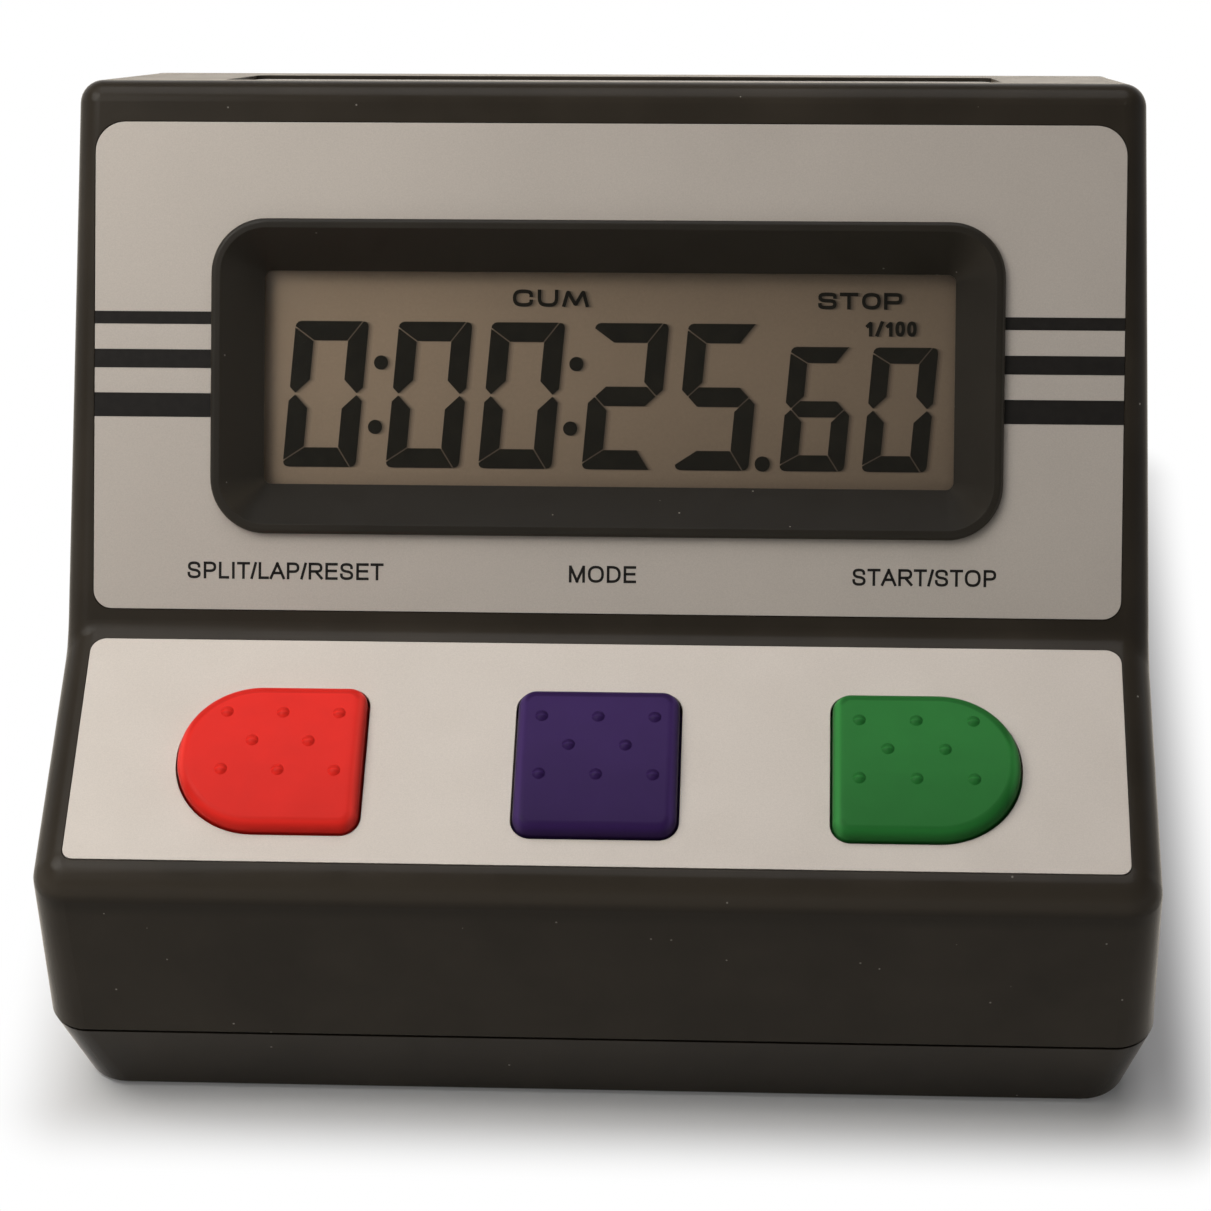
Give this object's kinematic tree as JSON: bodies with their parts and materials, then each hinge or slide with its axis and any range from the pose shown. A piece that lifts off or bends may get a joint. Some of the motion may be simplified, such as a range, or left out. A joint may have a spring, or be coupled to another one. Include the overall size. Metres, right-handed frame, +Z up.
{
  "type": "benchtop timer",
  "caption": "Wedge-shaped battery benchtop timer with a large digital display on a steep panel over a sloping keypad with coloured press buttons.",
  "frame": {"origin": "on the plane that the feet rest on, below the middle of the case's bounding box", "axes": "+X to the right as read from the front, +Y to the rear, +Z up; the panels face -Y"},
  "size_m": [0.139, 0.127, 0.1013],
  "materials": {
    "case_plastic": "fine-textured black-brown moulded plastic",
    "bezel_plastic": "satin black-brown moulded plastic",
    "panel_film": "satin silver-beige printed film",
    "plate_film": "bare satin silver film",
    "red_button": "satin red moulded plastic",
    "blue_button": "satin blue-violet moulded plastic",
    "green_button": "satin green moulded plastic",
    "clear_window": "clear flat window",
    "display_glass": "greige liquid crystal glass with dark segments",
    "reflector": "satin reflector film",
    "inner_plastic": "natural moulded plastic",
    "elastomer": "grey silicone",
    "foot_rubber": "black rubber",
    "circuit_board": "green solder mask",
    "component_black": "black moulded component",
    "fastener_steel": "zinc-plated steel",
    "contact_steel": "nickel-plated spring steel",
    "cell_sleeve": "plain dark cell sleeve",
    "wire_red": "red wire insulation",
    "wire_black": "black wire insulation",
    "ribbon_grey": "grey flat cable"
  },
  "bodies": {
    "case": {"battery_cell_front": "cell_sleeve", "battery_cell_rear": "cell_sleeve", "battery_lead_negative": "wire_black", "battery_lead_positive": "wire_red", "buzzer": "component_black", "case_screws": "fastener_steel", "controller_chip": "component_black", "crystal": "fastener_steel", "display_bezel": "bezel_plastic", "display_label": "panel_film", "display_window": "clear_window", "filter_capacitor": "component_black", "foot_front_left": "foot_rubber", "foot_front_right": "foot_rubber", "foot_rear_left": "foot_rubber", "foot_rear_right": "foot_rubber", "key_board": "circuit_board", "key_board_screws": "fastener_steel", "key_header": "inner_plastic", "keypad_label": "panel_film", "lcd_glass": "display_glass", "lcd_holder": "inner_plastic", "lcd_reflector": "reflector", "link_contact": "contact_steel", "lower_case": "case_plastic", "main_board": "circuit_board", "main_board_screws": "fastener_steel", "main_header": "inner_plastic", "mode_dome": "elastomer", "negative_contact": "contact_steel", "positive_contact": "contact_steel", "rear_label": "plate_film", "reset_dome": "elastomer", "ribbon_cable": "ribbon_grey", "start_dome": "elastomer", "supply_capacitor": "component_black", "upper_case": "case_plastic", "zebra_strip_lower": "elastomer", "zebra_strip_upper": "elastomer"},
    "reset_button": {"reset_button": "red_button"},
    "mode_button": {"mode_button": "blue_button"},
    "start_button": {"start_button": "green_button"},
    "battery_door": {"battery_door": "case_plastic"}
  },
  "joints": [
    {"name": "reset_press", "type": "slide", "parent": "case", "child": "reset_button", "axis": [0, 0.2588, -0.9659], "range_m": [0, 0.0012], "stiffness_N_per_m": 1000, "springref_m": -0.0004, "deforming": ["reset_dome"]},
    {"name": "mode_press", "type": "slide", "parent": "case", "child": "mode_button", "axis": [0, 0.2588, -0.9659], "range_m": [0, 0.0012], "stiffness_N_per_m": 1000, "springref_m": -0.0004, "deforming": ["mode_dome"]},
    {"name": "start_press", "type": "slide", "parent": "case", "child": "start_button", "axis": [0, 0.2588, -0.9659], "range_m": [0, 0.0012], "stiffness_N_per_m": 1000, "springref_m": -0.0004, "deforming": ["start_dome"]},
    {"name": "battery_door_hinge", "type": "hinge", "parent": "case", "child": "battery_door", "pos_m": [-0.02855, 0.014, 0.0019], "axis": [0, 1, 0], "range_deg": [0, 95]}
  ]
}
